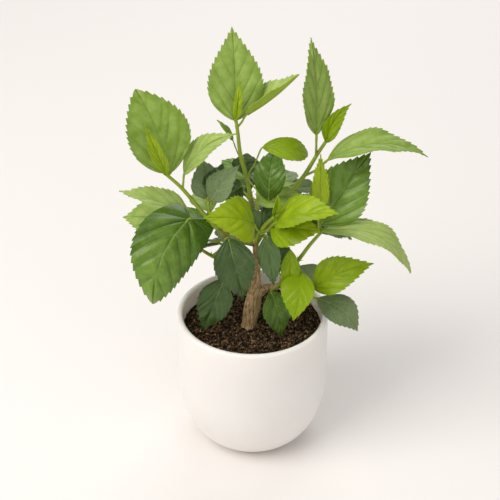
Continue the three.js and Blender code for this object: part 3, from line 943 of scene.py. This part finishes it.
def bladeMesh(base, blade, aim, bow, fold, form, tones, quilt, dealer):
    # A grid laid along the midrib; its rows run out from the midrib as the side veins do and end
    # in the teeth.
    shape = leafShape
    length, width = blade
    axes = bladeAxes(aim)
    up, side = axes[1:]
    toothRows = shape["toothRows"]
    teeth = max(round(length / shape["toothEvery"]), shape["fewestTeeth"])
    rows = teeth * len(toothRows)
    columns = shape["columns"] if length > shape["small"] else shape["fewColumns"]
    ends = [veinEnd(place, form["firstVein"]) for place, strength in shape["veins"]]
    veinRows = [0] + [round(end * teeth) * len(toothRows) - 1 for end in ends] + [rows]
    strengths = [0] + [strength for place, strength in shape["veins"]] + [0]
    toothDepth = shape["toothDepth"] * min(length / shape["full"], 1) ** 2
    phaseShift = dealer.random()
    bm = bmesh.new()
    veinLayer = bm.verts.layers.float.new("vein")
    puffHighlightLayer = bm.verts.layers.float.new("quilt")
    toneLayer = bm.verts.layers.float.new("tone")
    bmesh.ops.create_grid(bm, x_segments=columns, y_segments=rows, size=1)
    for vertex in bm.verts:
        row = round((vertex.co.y + 1) / 2 * rows)
        away = abs(vertex.co.x) ** shape["crowding"]  # 0 on the midrib, 1 at the edge
        across = math.copysign(away, vertex.co.x)
        onMidrib = away < 0.01

        # the outline with its teeth
        tooth, step = divmod(row, len(toothRows))
        phase = toothRows[step]
        edge = (tooth + phase) / teeth
        toothed = min(max((edge - shape["toothFrom"]) / shape["toothStart"], 0), 1)
        toothed *= min((1 - edge) / shape["toothEnd"], 1)
        full = fullness(edge, form)
        half = width / 2 * full + toothDepth * (phase - shape["toothMiddle"]) * toothed * away ** 8
        half = max(half, shape["neck"] if edge < 0.5 else shape["point"])

        # the place along the midrib, with the lean of the teeth and the lobes at the base
        root = veinRoot(edge, form["firstVein"])
        t = root + (edge - root) * away ** shape["veinArch"]
        t = min(t + shape["toothLean"] / teeth * phase * toothed * away ** 6, 1)
        t -= form["lobe"] * full * (1 - edge) ** 3 * away

        # the height over the midrib: fold, puffing between two veins, ripple and uneven bulges
        after = next(i for i, veinRow in enumerate(veinRows) if veinRow >= row) or 1
        share = (row - veinRows[after - 1]) / max(veinRows[after] - veinRows[after - 1], 1)
        puff = max(math.sin(math.pi * share), 0) ** 0.75
        puff *= math.sin(math.pi * min(away * 1.05, 1)) ** 0.6
        lift = away * half * math.sin(math.radians(fold)) + puff * quilt * length
        wave = math.sin(2 * math.pi * (edge * shape["ripples"] + phaseShift))
        lift += shape["ripple"] * length * away ** 3 * wave
        lift -= shape["groove"] * onMidrib
        here = Vector((t * length, across * half, phaseShift * shape["bulgeShift"]))
        lift += noise.noise(here / shape["bulgeSize"]) * shape["bulge"] * min(away * 4, 1)

        spread = across * half * math.cos(math.radians(fold))
        vertex.co = midribAt(base, blade, bow, axes, t) + side * spread + up * lift
        onVein = strengths[after] if row == veinRows[after] else 0
        vertex[veinLayer] = onVein * (1 - shape["veinFade"] * away ** 2)
        if onMidrib:
            vertex[veinLayer] = shape["midrib"] - shape["midribFade"] * edge
        # The puff shape is kept for the skin, which paints a highlight on each puff and shade towards
        # the veins from it.
        vertex[puffHighlightLayer] = puff
        vertex[toneLayer] = tones[0] + (tones[1] - tones[0]) * edge
    bmesh.ops.recalc_face_normals(bm, faces=bm.faces)
    if sum(face.normal.dot(up) for face in bm.faces) < 0:
        bmesh.ops.reverse_faces(bm, faces=bm.faces)
    for face in bm.faces:
        face.smooth = True
    for seam in bm.edges:
        seam.smooth = not seam.is_boundary
    return bm


def tapered(points, radii, sides, rings):
    # A short tube through a few points.
    return tube(curveThrough(points, 12), radii, sides, rings)


def growStipules(start, stemDirection, reach, sticks, dealer):
    # The pair of small pointed scales where a stalk leaves its stem.
    rule = twigs["stipule"]
    for flank in (-1, 1):
        sideways = stemDirection.cross(reach).normalized() * flank
        sideways = (sideways + stemDirection * 0.7 + reach * 0.5).normalized()
        root = start + sideways * rule["out"]
        tip = root + sideways * rule["length"] * dealer.uniform(0.7, 1.1) + Vector((0, 0, rule["lift"]))
        middle = root.lerp(tip, 0.5) + stemDirection * rule["bend"]
        join(sticks, tapered([root, middle, tip], rule["radii"], 5, 4))


def growLeaf(line, leaf, blades, sticks, dealer):
    age, at, stalk, blade, aim, bow, fold, *extras = leaf
    extra = extras[0] if extras else {}
    form = leafForms[extra.get("form", "ovate")]
    tone = extra["tone"] if "tone" in extra else dealer.uniform(-0.1, 0.15)
    tones = (tone, tone + extra.get("paleTip", 0))
    start, stemDirection = pointAt(line, at)
    reach = heading(*stalk[1:])
    base = start + reach * stalk[0]
    axes = bladeAxes(aim)
    inBlade = midribAt(base, blade, bow, axes, twigs["sunk"])
    middle = start.lerp(base, 0.5)
    middle.z -= stalk[0] * twigs["sag"]
    least, most = twigs["stalkRange"]
    thick = twigs["stalkRadius"] * min(max(blade[0] / twigs["stalkFor"], least), most)
    radii = [thick * share for share in twigs["stalkTaper"]]
    join(sticks, tapered([start, middle, base, inBlade], radii, twigs["stalkSides"], 14))

    # the midrib stands out under the blade
    rib = twigs["rib"]
    under = [midribAt(base, blade, bow, axes, t) - axes[1] * rib["below"] for t in rib["ends"]]
    join(sticks, tapered(under, [thick * 0.8, *rib["radii"]], 6, 12))

    growStipules(start, stemDirection, reach, sticks, dealer)
    quilt = extra.get("quilt", leafQuilts[age])
    join(blades[age], bladeMesh(base, blade, aim, bow, fold, form, tones, quilt, dealer))


def growStem(line, sticks):
    rings = max(round(lengthOf(line) / twigs["ringEvery"]), 8)
    join(sticks, tube(line, [twigs["base"], twigs["tip"]], twigs["sides"], rings))
    tip, onward = pointAt(line, 1)
    bud = [tip] + [tip + onward * end for end in twigs["bud"]["ends"]]
    join(sticks, tapered(bud, twigs["bud"]["radii"], 8, 8))


def makeFoliage():
    # The stalks are one piece and the leaves of each age another.
    dealer = random.Random(twigs["seed"])
    blades = {}
    for age in leafAges:
        blades[age] = bmesh.new()
        for layer in ("vein", "quilt", "tone"):
            blades[age].verts.layers.float.new(layer)
    sticks = bmesh.new()
    bearers = {age: set() for age in leafAges}
    for name, stems in shoots.items():
        for stem in stems:
            line = curveThrough(stem["path"])
            growStem(line, sticks)
            for leaf in stem["leaves"] + (sproutsOf(stem["sprouts"]) if "sprouts" in stem else []):
                growLeaf(line, leaf, blades, sticks, dealer)
                bearers[leaf[0]].add(name)
        print("grew", name)
    finishPiece("leafStalks", sticks, [finishes["stalk"]], list(shoots))
    for age, skins in leafAges.items():
        piece = finishPiece(age + "Leaves", blades[age], skins, sorted(bearers[age]))
        body = piece.modifiers.new("body", "SOLIDIFY")
        body.thickness = leafShape["thickness"] * mm
        body.offset = -1
        body.material_offset = 1
        body.material_offset_rim = 1


makeFoliage()


# Floor

def makeFloor():
    bm = bmesh.new()
    bmesh.ops.create_grid(bm, x_segments=2, y_segments=2, size=4)  # metres
    mesh = bpy.data.meshes.new("paleFloor")
    bm.to_mesh(mesh)
    bm.free()
    # Plain matt board.
    material, tree, shader = newFinish("mattPaleFloor", Roughness=0.8, Base_Color=linear("#EEEAE6"))
    mesh.materials.append(material)
    floor = bpy.data.objects.new("paleFloor", mesh)
    scene.collection.objects.link(floor)


makeFloor()
print("floor made")
